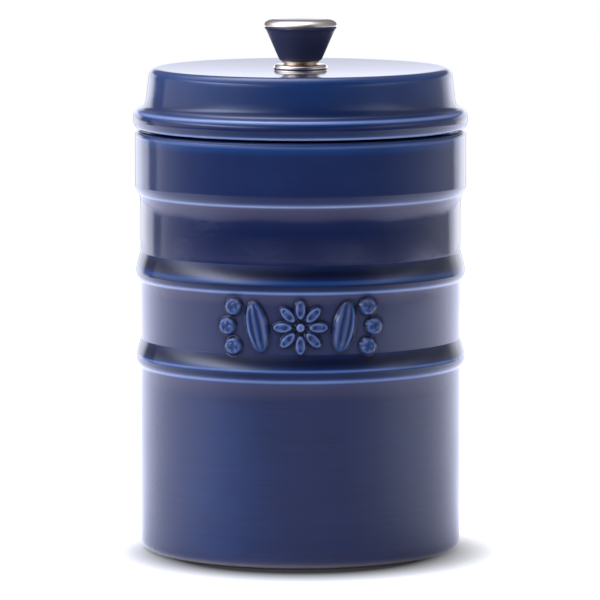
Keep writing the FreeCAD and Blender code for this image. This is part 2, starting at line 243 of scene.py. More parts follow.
def glaze_and_painted_lines(height, lines):
    """Sum of bell curves over the height, one for each (height, width, amount) of a pale or dark line."""
    return sum(amount * np.exp(-((height - middle) / width) ** 2) for middle, width, amount in lines)


def melt_waves(angle, height):
    """Slow waves of the melt: a sum of sines, each with its own count round the wall, its own rise with
    the height and its own start."""
    waves = (
        np.sin(WAVE_TURNS * angle[..., None] + WAVE_STARTS)
        * np.sin(WAVE_RISES * height[..., None] + WAVE_STARTS[::-1])
    )
    return WAVE_HEIGHT * waves.sum(axis=-1)


def ramp(value, low, high):
    """0 below low, 1 above high, and a smooth rise between them."""
    share = np.clip((value - low) / (high - low), 0, 1)
    return share * share * (3 - 2 * share)


print("glaze marks ready")

# %% [markdown]
# ## The ornament
# Between the two ribs the jar carries a raised ornament of spices: a star anise with a cardamom pod and
# three peppercorns on each side. On a cast jar, such a relief is part of the mould. It is worked out as
# heights over the flattened wall, each grain a dome, and the highest one wins. Sculpting would give the
# same forms, but heights on a grid can be blurred to show how the glaze rounds them.

# %% Heights of the ornament
RELIEF_GAP = 0.1
RELIEF_REACH = (27.0, 11.5)
RELIEF_HEIGHT = 1.5
RELIEF_EDGE = 0.55
PETALS = 8
PETAL_SPREAD, PETAL_LENGTH, PETAL_WIDTH = 5.4, 6.2, 3.4
FURROW_DEPTH, FURROW_WIDTH, FURROW_START, FURROW_END = 0.8, 0.62, (-2.6, -0.8), (1.6, 2.6)
SEED_RISE, SEED_SHIFT, SEED_LENGTH, SEED_WIDTH = 0.62, 0.4, 2.3, 1.25
BOSS_WIDTH = 3.0
POD_OFFSET, POD_LENGTH, POD_WIDTH, POD_LEAN = 13.4, 16.0, 7.0, np.arctan(0.2)
POD_RIBS, POD_RIB_SHARE, POD_FACE, POD_TIP = 3, 0.16, 0.86, 0.02
BERRY_OFFSET, BERRY_PITCH, BERRY_STAGGER, BERRY_WIDTH = 21.0, 6.1, 2.0, 5.6
BERRY_TURN, WRINKLE_SHARE = 0.7, 0.2
WRINKLE_ALONG, WRINKLE_BEND, WRINKLE_WAVE = 1.9, 0.8, 2.1
WRINKLE_SIDE, WRINKLE_START = 1.7, 0.9
MOULD_SOFT, PROUD_REACH = 0.2, 0.6
POOL_EDGE, POOL_REACH = 0.3, 1.0

across = np.arange(-RELIEF_REACH[0], RELIEF_REACH[0] + RELIEF_GAP, RELIEF_GAP)[:, None]
upward = np.arange(-RELIEF_REACH[1], RELIEF_REACH[1] + RELIEF_GAP, RELIEF_GAP)[None, :]


def local(centre, lean):
    """Distances from a centre, along a direction that leans from upright and to the side of it."""
    x, y = across - centre[0], upward - centre[1]
    return x * np.sin(lean) + y * np.cos(lean), x * np.cos(lean) - y * np.sin(lean)


def dome(along, side, length, width):
    """Rounded grain with a flattened face: the square root of one minus the two shares squared, cut off
    at its face, and flat outside."""
    rest = 1 - (2 * along / length) ** 2 - (2 * side / width) ** 2
    return RELIEF_HEIGHT * np.sqrt(np.clip(rest / RELIEF_EDGE, 0, 1))


def petal(angle):
    """Open seed case of the star: a dome with a furrow along its middle and a seed in the furrow."""
    along, side = local((PETAL_SPREAD * np.sin(angle), PETAL_SPREAD * np.cos(angle)), angle)
    case = dome(along, side, PETAL_LENGTH, PETAL_WIDTH)
    furrow = FURROW_DEPTH * np.exp(-(side / FURROW_WIDTH) ** 2)
    furrow = furrow * ramp(along, *FURROW_START) * (1 - ramp(along, *FURROW_END))
    seed = SEED_RISE * dome(along - SEED_SHIFT, side, SEED_LENGTH, SEED_WIDTH) / RELIEF_HEIGHT
    return np.maximum(case - furrow + seed, 0) * (case > 0)


def pod(side_of_star):
    """Cardamom pod: a dome times a cosine across it, whose long ribs close up with the pod's width."""
    along, side = local((side_of_star * POD_OFFSET, 0), side_of_star * POD_LEAN)
    body = dome(along, side, POD_LENGTH, POD_WIDTH)
    belly = np.sqrt(np.maximum(1 - (2 * along / POD_LENGTH) ** 2, POD_TIP))
    ribs = POD_RIB_SHARE * np.cos(POD_RIBS * np.pi * 2 * side / (POD_WIDTH * belly))
    return body * (POD_FACE + ribs)


def berry(side_of_star, row):
    """Peppercorn: a round dome with a net of wrinkles, the product of two crossed waves."""
    place = side_of_star * (BERRY_OFFSET + BERRY_STAGGER * (1 - abs(row)))
    along, side = local((place, row * BERRY_PITCH), BERRY_TURN * row + side_of_star)
    bent = np.sin(WRINKLE_ALONG * along + WRINKLE_BEND * np.sin(WRINKLE_WAVE * side))
    net = np.abs(bent * np.sin(WRINKLE_SIDE * side + WRINKLE_START))
    return dome(along, side, BERRY_WIDTH, BERRY_WIDTH) * (1 - WRINKLE_SHARE + WRINKLE_SHARE * net)


grains = [petal(2 * np.pi * k / PETALS) for k in range(PETALS)]
grains.append(dome(*local((0, 0), 0), BOSS_WIDTH, BOSS_WIDTH))
grains += [pod(side) for side in (-1, 1)]
grains += [berry(side, row) for side in (-1, 1) for row in (-1, 0, 1)]


def spread_flat(heights, width):
    """Heights blurred both ways by a bell curve, as two products with a table of its weights."""
    tables = []
    for count in heights.shape:
        place = np.arange(count) * RELIEF_GAP
        table = np.exp(-0.5 * ((place[:, None] - place) / width) ** 2)
        tables.append(table / table.sum(axis=1, keepdims=True))
    return tables[0] @ heights @ tables[1].T


relief = spread_flat(np.max(grains, axis=0), MOULD_SOFT)
relief_proud = relief - spread_flat(relief, PROUD_REACH)
relief_pool = spread_flat((relief > POOL_EDGE).astype(float), POOL_REACH) * (relief < POOL_EDGE)
print(f"ornament: {relief.shape} heights up to {relief.max():.2f} mm")

# %% [markdown]
# ## The jar
# The jar's outline runs from the middle of its underside out to the foot, up the wall over both ribs and
# the collar, over the rim and down inside. A blur eases every edge, as the melted glaze does. Only the
# upper ends of the ribs stay crisp on the real jar, so there the outline goes back to its corners. A drawn
# curve with the Screw modifier could turn the same body, but it would not tell where the glaze thins.

# %% Jar outline
GLAZE_ROUND = 0.35
BODY_RADIUS = 50.0
BORE_RADIUS = 45.0
JAR_HEIGHT = 131.3
OUTER_WALL = BODY_RADIUS - 1
FOOT_INNER, FOOT_HOLLOW, FOOT_ROUND = 41, 1.2, 3.0
LOWER_RIB = (57.5, 60.6, 66.4)
UPPER_RIB = (84.5, 87.2, 93.7)
RIB_SWELL, RIB_SLOPE = 1.62, 1.35
CREASE_WIDTH = 0.7
THROAT = [(BODY_RADIUS, 107.8), (50.04, 109.3), (50.14, 110.6), (50.32, 111.4)]
COLLAR_RADIUS, COLLAR_FOOT, COLLAR_ROUND = 51.65, 113.8, 1.2
MOUTH_ROUND = 0.8
INSIDE_FLOOR, INSIDE_ROUND = 6, 5


def rib(foot, crest, top):
    """Rib of the wall from its lower end upwards: the swell times one minus a square below the crest, and
    times one minus the slope's power above it, a longer and nearly straight fall."""
    below = np.linspace(-1, 0, ARC_POINTS)[:-1]
    above = np.linspace(0, 1, 2 * ARC_POINTS)
    share = np.concatenate([1 - below ** 2, 1 - above ** RIB_SLOPE])
    height = np.concatenate([crest + below * (crest - foot), crest + above * (top - crest)])
    return np.column_stack([BODY_RADIUS + RIB_SWELL * share, height]).tolist()


jar_corners = even_line(round_corners([
    (0, FOOT_HOLLOW), (FOOT_INNER, FOOT_HOLLOW), (FOOT_INNER, 0), (BODY_RADIUS, 0, FOOT_ROUND),
    *rib(*LOWER_RIB),
    *rib(*UPPER_RIB),
    *THROAT,
    (COLLAR_RADIUS, COLLAR_FOOT), (COLLAR_RADIUS, JAR_HEIGHT, COLLAR_ROUND),
    (BORE_RADIUS, JAR_HEIGHT, MOUTH_ROUND), (BORE_RADIUS, INSIDE_FLOOR, INSIDE_ROUND), (0, INSIDE_FLOOR),
]))
jar_line = blur(jar_corners, GLAZE_ROUND)
rib_tops = sum(
    np.exp(-((jar_corners[:, 1:] - top) / CREASE_WIDTH) ** 2) for _, _, top in (LOWER_RIB, UPPER_RIB)
)
rib_tops = rib_tops * (jar_corners[:, :1] > OUTER_WALL)
jar_line += rib_tops * (jar_corners - jar_line)
jar_line[:, 1] = np.clip(jar_line[:, 1], 0, JAR_HEIGHT)
print(f"jar outline: {len(jar_line)} points")

# %% [markdown]
# ## The jar's rows and columns
# The ornament needs a fine mesh and the plain wall does not, so the columns stand closer together at the
# front, and the rows between the ribs. Three more rows hold the crisp line at the upper end of each rib.
# A subdivided cylinder would do as well, but its mesh would have to be fine all the way round.

# %% Jar rows and columns
JAR_GAPS = (0.22, 3.0)
RELIEF_MESH = 0.28
CRISP_STEPS = np.array([-0.8, 0, 0.8])
FRONT_TURN = 0.55
PLAIN_COLUMNS = 128
TURN_SAMPLES = 20001

jar_rows = pick_rows(jar_line, *JAR_GAPS, (LOWER_RIB[0], UPPER_RIB[2], OUTER_WALL, RELIEF_MESH))
for _, _, top in (LOWER_RIB, UPPER_RIB):
    crease = np.argmin(np.linalg.norm(jar_corners - (BODY_RADIUS, top), axis=1))
    jar_rows = np.sort(np.concatenate([jar_rows, crease + CRISP_STEPS]))
turns = np.linspace(-np.pi, np.pi, TURN_SAMPLES)
column_density = np.where(
    np.abs(turns) < FRONT_TURN, BODY_RADIUS / RELIEF_MESH, PLAIN_COLUMNS / (2 * np.pi)
)
column_sum = np.concatenate([[0], np.cumsum(column_density[1:] * np.diff(turns))])
column_count = int(column_sum[-1])
jar_angles = np.interp(np.arange(column_count) / column_count * column_sum[-1], column_sum, turns)
print(f"jar mesh: {len(jar_rows)} rows and {column_count} columns")

# %% [markdown]
# ## The jar's skin
# The ornament and the waves only move the outer wall. Under the ribs and the collar the glaze ran together
# and is milky; that milky mark also paints a grey sheen there, on the lower wall and at the foot, where a
# reflection would be. A lighter patch low on the left is painted light from the left. The foot ring is
# left bare, because glaze would stick it to the kiln shelf, and a pale band just above it is painted light
# that lifts the shade under the foot's rounding. Vertex paint could hold all of this; here the marks come
# from the same heights as the outline, so they lie on its edges.

# %% Jar skin
OUTER_SKIN = BODY_RADIUS - 2
RELIEF_MIDDLE = 74.85
RELIEF_BREAK = 0.75
RELIEF_TONE = 0.05
RELIEF_POOL = 0.45
POOL_CLEARS = 3
GRID_END = 1.001
WAVES_START, WAVES_END = (1, 8), (124, 130)
LEFT_LIGHT_TONE, LEFT_LIGHT_TURN, LEFT_LIGHT_WIDTH, LEFT_LIGHT_TOP = 0.05, -0.52, 0.3, (44, 58)
BARE_FADE, BARE_INNER, BARE_OUTER = (0.15, 0.7), 40.2, 47.6
FOOT_LIGHT_SHARE, FOOT_LIGHT_HEIGHT, FOOT_LIGHT_WIDTH = 0.4, 0.7, 0.7
MILKY_AND_SHEEN_ROWS = np.array([
    (0, 0.75), (1.6, 0.65), (3.2, 0.25), (5, 0.12), (52, 0.12), (55, 0.45), (57, 0.6), (57.6, 0),
    (66, 0), (67, 0.12), (81, 0.12), (82.5, 0.4), (84.2, 0.6), (84.8, 0), (94, 0), (94.4, 0.25), (98, 0.1),
    (104, 0), (107.8, 0.08), (109.1, 0.5), (111.0, 0.8), (111.5, 0.25), (113.2, 0.25), (114.2, 0.08),
    (131, 0.08),
])
# Pale and dark lines of the glaze. The pale lines on the rim, under the collar and in the rib coves are
# also painted highlights and reflections; the dark lines on the rib slopes are partly painted shade.
JAR_GLAZE_AND_PAINTED_LINES = [
    (129.9, 0.75, 0.20), (128.8, 1.3, 0.06), (121, 6.0, 0.02), (111.7, 0.55, 0.66),
    (100.5, 5.0, -0.12), (91.2, 1.9, -0.36), (88.7, 0.9, 0.20), (87.0, 0.55, -0.22), (85.2, 0.65, 0.42),
    (64.1, 1.8, -0.34), (61.4, 0.6, 0.32), (60.0, 0.5, -0.20), (58.0, 0.75, 0.38), (1.4, 0.9, 0.10),
]


def relief_at(values, distance, height):
    """Values of the ornament's grid at a distance round the wall and a height over its middle, mixed
    from the four nearest grid points, and zero outside the grid."""
    x = np.clip((distance + RELIEF_REACH[0]) / RELIEF_GAP, 0, values.shape[0] - GRID_END)
    y = np.clip((height + RELIEF_REACH[1]) / RELIEF_GAP, 0, values.shape[1] - GRID_END)
    i, j = x.astype(int), y.astype(int)
    x, y = x - i, y - j
    low = values[i, j] * (1 - x) + values[i + 1, j] * x
    high = values[i, j + 1] * (1 - x) + values[i + 1, j + 1] * x
    inside = (np.abs(distance) < RELIEF_REACH[0]) & (np.abs(height) < RELIEF_REACH[1])
    return (low * (1 - y) + high * y) * inside


jar_radius, jar_height = at_rows(jar_line, jar_rows).T[:, :, None]
outside = (jar_radius > OUTER_SKIN).astype(float)
distance, height_over = np.broadcast_arrays(jar_angles * BODY_RADIUS, jar_height - RELIEF_MIDDLE)
raised = relief_at(relief, distance, height_over) * outside
pool = relief_at(relief_pool, distance, height_over)
waving = outside * ramp(jar_height, *WAVES_START) * (1 - ramp(jar_height, *WAVES_END))
waves = melt_waves(*np.broadcast_arrays(jar_angles, jar_height)) * waving
# A lighter, bluer patch low on the left side: painted light from the left.
left_painted_light = LEFT_LIGHT_TONE * np.exp(-((jar_angles - LEFT_LIGHT_TURN) / LEFT_LIGHT_WIDTH) ** 2)
left_painted_light = left_painted_light * (1 - ramp(jar_height, *LEFT_LIGHT_TOP))
# The mark sums thinner and pooled glaze with painted highlights, reflections and shade.
thin = PLAIN_GLAZE + outside * (
    glaze_and_painted_lines(jar_height, JAR_GLAZE_AND_PAINTED_LINES)
    + left_painted_light
    + RELIEF_BREAK * relief_at(relief_proud, distance, height_over)
    + RELIEF_TONE * raised
    - RELIEF_POOL * pool
)
# Milky glaze under the ribs and the collar; the same mark paints a grey sheen there, on the lower wall and
# at the foot, where a reflection would be.
milky = outside * np.interp(jar_height, *MILKY_AND_SHEEN_ROWS.T) * np.clip(1 - POOL_CLEARS * pool, 0, 1)
bare_foot_and_painted_light = 1 - ramp(jar_height, *BARE_FADE)
bare_foot_and_painted_light = bare_foot_and_painted_light * (jar_radius > BARE_INNER) * (jar_radius < BARE_OUTER)
# A pale band just above the foot, in clay colour: painted light that lifts the shade under the rounding.
foot_painted_light = FOOT_LIGHT_SHARE * np.exp(-((jar_height - FOOT_LIGHT_HEIGHT) / FOOT_LIGHT_WIDTH) ** 2) * outside
bare_foot_and_painted_light = np.maximum(bare_foot_and_painted_light, foot_painted_light)

jar = skin(
    "jar_body_glazed",
    turned(jar_radius + raised + waves, jar_height, jar_angles),
    glaze_thin=thin,
    glaze_milky=milky,
    bare_clay=bare_foot_and_painted_light,
)
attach(jar, "jar")
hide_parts("jar_body")

# %% [markdown]
# ## The lid
# The lid is one casting: a bead with a flat shoulder that hangs over the rim, a crown that flares at its
# foot and is very slightly dished on top, and a spigot with a groove below. A hole for the screw goes
# through its middle, so its outline is a closed loop and has no pole. The ring where it stood in the kiln,
# on its spigot's end, is bare. The Screw modifier could turn it too, but then the glaze lines would have
# to be painted.

# %% Lid
HOLE_RADIUS = 2.4
CEILING, CEILING_ROUND = 145.5, 3
SPIGOT_INNER, SPIGOT_OUTER, SPIGOT_FOOT, SPIGOT_ROUND = 39.8, 43.8, 120.3, 0.8
GROOVE_RADIUS, GROOVE_FOOT, GROOVE_TOP = 42.3, 123.3, 128.8
SEAT_RADIUS, BEAD_FOOT = 47.6, 132.0
BEAD_LINE = [
    (50.9, BEAD_FOOT, 0.3), (51.3, 132.25), (51.65, 132.75), (51.95, 133.35), (52.15, 134.1),
    (52.24, 135.0), (52.21, 135.6), (52.1, 136.25), (51.9, 136.9), (51.6, 137.4), (51.2, 137.75),
    (50.6, 138.05), (49.9, 138.28), (49.3, 138.5), (48.85, 139.0), (48.62, 139.5), (48.42, 140.2),
    (48.24, 141.1), (48.1, 142.1), (47.98, 143.2),
]
CROWN_RADIUS, CROWN_ROUND = 47.1, 2.5
LID_RIM = 150.8
LID_ROUND = 0.3
DISH_DEPTH, DISH_RADIUS, DISH_ABOVE = 0.35, 46, 147
LID_GAPS, LID_COLUMNS = (0.2, 2.5), 288
LID_WAVES_UP, LID_WAVES_OUT = (132.5, 136), (44, 47)
LID_GLAZE_AND_PAINTED_LINES_OUT = (44.5, 46)
SPIGOT_FADE = (SPIGOT_FOOT + 0.1, SPIGOT_FOOT + 0.7)
# Lines of the lid's glaze; the pale ones on the crown's edge and the bead are also painted highlights.
LID_GLAZE_AND_PAINTED_LINES = [
    (149.9, 0.9, 0.07), (148.4, 1.6, 0.04), (144.5, 4.0, 0.05), (137.4, 0.6, 0.36), (132.3, 0.55, 0.50),
]

lid_line = round_corners([
    (HOLE_RADIUS, CEILING), (SPIGOT_INNER, CEILING, CEILING_ROUND),
    (SPIGOT_INNER, SPIGOT_FOOT, SPIGOT_ROUND), (SPIGOT_OUTER, SPIGOT_FOOT, SPIGOT_ROUND),
    (SPIGOT_OUTER, GROOVE_FOOT), (GROOVE_RADIUS, GROOVE_FOOT),
    (GROOVE_RADIUS, GROOVE_TOP), (SPIGOT_OUTER, GROOVE_TOP),
    (SPIGOT_OUTER, JAR_HEIGHT), (SEAT_RADIUS, JAR_HEIGHT), (SEAT_RADIUS, BEAD_FOOT),
    *BEAD_LINE, (CROWN_RADIUS, LID_RIM, CROWN_ROUND), (HOLE_RADIUS, LID_RIM),
], closed=True)
lid_line = blur(even_line(lid_line), LID_ROUND, closed=True)
dish = DISH_DEPTH * np.clip(1 - (lid_line[:, 0] / DISH_RADIUS) ** 2, 0, 1)
lid_line[:, 1] -= np.where(lid_line[:, 1] > DISH_ABOVE, dish, 0)
lid_line[:, 1] = np.clip(lid_line[:, 1], SPIGOT_FOOT, LID_RIM)

lid_rows = pick_rows(lid_line, *LID_GAPS)[:-1]
lid_angles = even_angles(LID_COLUMNS)
lid_radius, lid_height = at_rows(lid_line, lid_rows).T[:, :, None]
lid_waves = melt_waves(*np.broadcast_arrays(lid_angles, lid_height))
lid_waves = lid_waves * ramp(lid_height, *LID_WAVES_UP) * ramp(lid_radius, *LID_WAVES_OUT)
lid_glaze_and_painted_light = PLAIN_GLAZE + glaze_and_painted_lines(lid_height, LID_GLAZE_AND_PAINTED_LINES) * ramp(lid_radius, *LID_GLAZE_AND_PAINTED_LINES_OUT)
spigot_bare = 1 - ramp(lid_height, *SPIGOT_FADE)

lid = skin(
    "lid_shell_glazed",
    turned(lid_radius + lid_waves, lid_height, lid_angles),
    loop=True,
    glaze_thin=lid_glaze_and_painted_light,
    bare_clay=spigot_bare,
)
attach(lid, "lid")
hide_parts("lid_shell")

# %% [markdown]
# ## The knob
# The knob is three turned pieces. The base is a thin polished ring with a quarter-round edge, a recess for
# its gasket below and a thin cup above. The enamelled cone sits in that cup on a rounded foot. The polished
# cap has a rounded bevel and a very low dome. Cones and cylinders with a Bevel modifier would come near,
# but the light shows mostly on the small edges, so each piece is an outline with every edge eased.

# %% Knob base, cone and cap
KNOB_COLUMNS = 128
SMALL_GAPS = (0.1, 1.5)


def turned_piece(name, corners, base, soft, body, node, loop=False, columns=KNOB_COLUMNS):
    """Turned piece from the corners of its outline, at heights over its base, with edges eased by a blur.
    It rides on a body and stands for a node of the frame."""
    line = round_corners([(r, z + base, *rest) for r, z, *rest in corners], closed=loop)
    line = blur(even_line(line), soft, closed=loop)
    rows = pick_rows(line, *SMALL_GAPS)
    radius, height = at_rows(line, rows[:-1] if loop else rows).T[:, :, None]
    piece = skin(name, turned(radius, height, even_angles(columns)), loop=loop)
    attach(piece, body)
    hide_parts(node)
    return piece


BASE_HEIGHT, BASE_SOFT = 150.5, 0.06
CONE_HEIGHT, CONE_SOFT = 152.05, 0.08
CAP_HEIGHT, CAP_SOFT = 163.3, 0.12
DOME_RADIUS, DOME_FOOT, DOME_RISE, DOME_EASE = 9.0, 2.72, 0.32, 0.4

knob_base = turned_piece("knob_base_polished", [
    (HOLE_RADIUS, 0.15), (7.2, 0.15), (7.2, 0), (8.5, 0), (8.5, 1.4, 1.2), (4.95, 1.4, 0.1), (5.1, 1.45),
    (5.7, 1.9), (6.2, 2.4), (5.9, 2.4), (5.45, 2.05), (4.9, 1.7), (HOLE_RADIUS, 1.6),
], BASE_HEIGHT, BASE_SOFT, "lid", "knob_base", loop=True)

cone = turned_piece("knob_cone_enamelled", [
    (0, 8.65), (3.55, 8.65), (3.55, 0.2), (4.8, 0.22), (5.35, 0.58), (5.8, 0.92), (6.25, 0.92),
    (6.6, 1.35, 1), (6.95, 1.95, 1.5), (10.75, 10.6, 1.2), (11.4, 11.25),
    (4.55, 11.25), (4.55, 9.7), (0, 9.7),
], CONE_HEIGHT, CONE_SOFT, "lid", "knob_cone")

dome_radii = np.linspace(DOME_RADIUS - DOME_EASE, 0, ARC_POINTS)
dome_heights = DOME_FOOT + DOME_RISE * (1 - (dome_radii / DOME_RADIUS) ** 2)
knob_cap = turned_piece("knob_cap_polished", [
    (0, -1.5), (4.5, -1.5), (4.5, 0), (11.4, 0), (11.9, 0.75, 0.3), (11.35, 1.65, 1),
    (10.3, 2.35, 2), (DOME_RADIUS, DOME_FOOT, 2), *np.column_stack([dome_radii, dome_heights]).tolist(),
], CAP_HEIGHT, CAP_SOFT, "lid", "knob_cap")

# %% [markdown]
# ## The seal and the washers
# A soft ring with three lips sits in the groove of the spigot and keeps the food dry. It and the washers
# round the screw only show when the lid is off. A torus or a plain disc would do in the dark, but the lid
# does come off, so they are outlines with eased edges like the knob.

# %% Seal and washers
SEAL_FOOT, SEAL_HEIGHT, SEAL_SOFT = 123.45, 5.2, 0.1
SEAL_INNER, SEAL_OUTER = 42.45, 43.8
SEAL_COLUMNS, WASHER_COLUMNS = 256, 96
LIPS = 3
LIP_ROOT, LIP_TIP, LIP_REACH = 1.2, 0.5, 44.85

seal_corners = [(SEAL_INNER, 0), (SEAL_OUTER, 0)]
for lip in range(LIPS):
    middle = SEAL_HEIGHT * (2 * lip + 1) / (2 * LIPS)
    seal_corners += [
        (SEAL_OUTER, middle - LIP_ROOT / 2), (LIP_REACH, middle - LIP_TIP / 2),
        (LIP_REACH, middle + LIP_TIP / 2), (SEAL_OUTER, middle + LIP_ROOT / 2),
    ]
seal_corners += [(SEAL_OUTER, SEAL_HEIGHT), (SEAL_INNER, SEAL_HEIGHT)]
seal = turned_piece(
    "lid_seal_soft", seal_corners, SEAL_FOOT, SEAL_SOFT, "seal", "lid_seal",
    loop=True, columns=SEAL_COLUMNS,
)


def washer(name, radius, base, thickness, soft):
    """Flat ring round the screw, with its edges eased by a blur."""
    corners = [(HOLE_RADIUS, 0), (radius, 0), (radius, thickness), (HOLE_RADIUS, thickness)]
    return turned_piece(
        f"{name}_eased", corners, base, soft, "lid", name, loop=True, columns=WASHER_COLUMNS
    )


base_gasket = washer(
    "base_gasket", radius=7.0, base=BASE_HEIGHT, thickness=0.15, soft=0.03
)
screw_gasket = washer("screw_gasket", radius=7.0, base=144.3, thickness=1.2, soft=0.2)
screw_washer = washer("screw_washer", radius=6.0, base=143.3, thickness=1.0, soft=0.12)

# %% [markdown]
# ## The screw
# A pan-head screw clamps the knob from below. Its thread is a wave that climbs once per turn, and its
# driver recess is a cross pressed into the head. Both are offsets on the same turned grid, which keeps
# the screw one closed skin; cutting them with booleans would leave ragged triangles.

# %% Screw
SCREW_FOOT, SCREW_LENGTH = 140.7, 18.45
SCREW_ROWS, SCREW_COLUMNS = 380, 96
HEAD_RADIUS, HEAD_HEIGHT, HEAD_ROUND, HEAD_EDGE = 4.0, 2.6, 0.9, 0.2
SHANK_RADIUS, SHANK_CORE, TIP_CHAMFER = 2.0, 1.5, 0.6
THREAD_PITCH, THREAD_DEPTH, THREAD_START = 0.7, 0.22, (4.5, 5.5)
RECESS_REACH, RECESS_SLOT, RECESS_DEPTH = 2.2, 0.5, 1.4
RECESS_FLANK, RECESS_END = 0.1, 0.5
FACE_HEIGHT, FACE_MARGIN = 0.9, 0.3


def arm(across, along):
    """One bar of the cross: one inside the slot and its reach, zero outside, with sloping flanks."""
    slot = 1 - ramp(across, RECESS_SLOT - RECESS_FLANK, RECESS_SLOT + RECESS_FLANK)
    return slot * (1 - ramp(along, RECESS_REACH - RECESS_END, RECESS_REACH))


screw_line = even_line(round_corners([
    (0, 0), (HEAD_RADIUS, 0, HEAD_ROUND), (HEAD_RADIUS, HEAD_HEIGHT, HEAD_EDGE),
    (SHANK_RADIUS, HEAD_HEIGHT), (SHANK_RADIUS, SCREW_LENGTH - TIP_CHAMFER),
    (SHANK_RADIUS - TIP_CHAMFER, SCREW_LENGTH), (0, SCREW_LENGTH),
]))
screw_rows = np.linspace(0, len(screw_line) - 1, SCREW_ROWS)
screw_radius, screw_height = at_rows(screw_line, screw_rows).T[:, :, None]
screw_angles = even_angles(SCREW_COLUMNS)
climb = screw_height / THREAD_PITCH - screw_angles / (2 * np.pi)
on_shank = ramp(screw_height, *THREAD_START) * (screw_radius > SHANK_CORE)
thread = THREAD_DEPTH * (0.5 - 0.5 * np.cos(2 * np.pi * climb)) * on_shank
on_face = (screw_height < FACE_HEIGHT) & (screw_radius < HEAD_RADIUS - FACE_MARGIN)
x, y = np.abs(screw_radius * np.sin(screw_angles)), np.abs(screw_radius * np.cos(screw_angles))
pressed = RECESS_DEPTH * np.maximum(arm(x, y), arm(y, x)) * on_face
screw = skin(
    "knob_screw_threaded",
    turned(screw_radius - thread, screw_height + SCREW_FOOT + pressed, screw_angles),
)
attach(screw, "lid")
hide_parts("knob_screw")

# %% [markdown]
# ## Building blocks for finishes
# A finish is a Principled shader with a few nodes in front of it. Each helper puts one node or a short run
# of them and returns its output, so that a finish reads like a sum. The Shader Editor can place the same
# nodes by hand; code is used because the same runs come back in every finish.

# %% Node helpers


def put(tree, kind, **settings):
    """New node of a kind, with its own settings and, by socket name, its input values."""
    node = tree.nodes.new(kind)
    for key, value in settings.items():
        if hasattr(node, key):
            setattr(node, key, value)
        else:
            node.inputs[key.replace("_", " ").title()].default_value = value
    return node


def feed(tree, value, socket):
    """Give an input its value: a link from another socket, or a plain number or colour."""
    if isinstance(value, bpy.types.NodeSocket):
        tree.links.new(value, socket)
    else:
        socket.default_value = value


def math_node(tree, operation, first, second, clamp=False):
    """Math node on two values or sockets."""
    node = put(tree, "ShaderNodeMath", operation=operation, use_clamp=clamp)
    for index, value in enumerate((first, second)):
        feed(tree, value, node.inputs[index])
    return node.outputs[0]


def length_of(tree, first, second):
    """Length of an arrow with two parts: the root of the sum of their squares."""
    squares = [math_node(tree, "POWER", part, 2.0) for part in (first, second)]
    return math_node(tree, "POWER", math_node(tree, "ADD", *squares), 0.5)


def object_place(tree):
    """Place of the spot on its piece, in metres."""
    return put(tree, "ShaderNodeTexCoord").outputs["Object"]


def split(tree, vector):
    """The three parts of a vector."""
    node = put(tree, "ShaderNodeSeparateXYZ")
    tree.links.new(vector, node.inputs[0])
    return node.outputs


def noise(tree, vector, scale, detail):
    """Noise texture on a vector. The scale is a number or a socket."""
    node = put(tree, "ShaderNodeTexNoise", detail=detail)
    tree.links.new(vector, node.inputs["Vector"])
    feed(tree, scale, node.inputs["Scale"])
    return node.outputs["Fac"]


def new_group(name, inputs, outputs):
    """Empty shader node group with float inputs of (name, value) and float outputs."""
    group = bpy.data.node_groups.new(name, "ShaderNodeTree")
    for label, value in inputs:
        socket = group.interface.new_socket(label, in_out="INPUT", socket_type="NodeSocketFloat")
        socket.default_value = value
    for label in outputs:
        group.interface.new_socket(label, in_out="OUTPUT", socket_type="NodeSocketFloat")
    return group, group.nodes.new("NodeGroupInput"), group.nodes.new("NodeGroupOutput")


print("node helpers ready")

# %% [markdown]
# ## Shared effects
# Two effects appear in several finishes: a soft mottle, as in glaze, rubber and silicone, and fine
# hairlines, as on polished and turned metal. Each is a node group with its own scale and amount, built
# once and placed in each material. Copying the nodes into every material would also work, but a change
# would then have to be made many times.

# %% Mottle and hairlines
CLOUD_DETAIL, GRAIN_DETAIL, LINE_DETAIL = 3.0, 2.0, 2.0
GRAIN_FINER = 9.0

mottle_group, given, result = new_group(
    "soft_mottle", [("Scale", 60.0), ("Amount", 0.2)], ["Value", "Height"]
)
place = object_place(mottle_group)
clouds = noise(mottle_group, place, given.outputs["Scale"], CLOUD_DETAIL)
grain_scale = math_node(mottle_group, "MULTIPLY", given.outputs["Scale"], GRAIN_FINER)
fine_grain = noise(mottle_group, place, grain_scale, GRAIN_DETAIL)
swing = math_node(mottle_group, "MULTIPLY", math_node(mottle_group, "SUBTRACT", clouds, 0.5), 2.0)
swing = math_node(mottle_group, "MULTIPLY", swing, given.outputs["Amount"])
mottle_group.links.new(math_node(mottle_group, "ADD", swing, 1.0), result.inputs["Value"])
mottle_group.links.new(math_node(mottle_group, "ADD", clouds, fine_grain), result.inputs["Height"])

hairline_group, given, result = new_group("hairlines", [("Scale", 900.0), ("Amount", 0.1)], ["Value"])
spot = split(hairline_group, object_place(hairline_group))
rings = put(hairline_group, "ShaderNodeCombineXYZ")
hairline_group.links.new(length_of(hairline_group, spot[0], spot[1]), rings.inputs[0])
hairline_group.links.new(spot[2], rings.inputs[1])
lines = noise(hairline_group, rings.outputs[0], given.outputs["Scale"], LINE_DETAIL)
hairline_group.links.new(
    math_node(hairline_group, "MULTIPLY", lines, given.outputs["Amount"]), result.inputs["Value"]
)
print("groups:", mottle_group.name, hairline_group.name)

# %% [markdown]
# ## Colours from values
# The finishes turn values into colours: a ramp gives each value its own colour, a mix lays one colour over
# another, and a tint takes one value to all three channels. An image texture could hold the result, but
# it would have to be painted again after each change of shape.

# %% Colour helpers


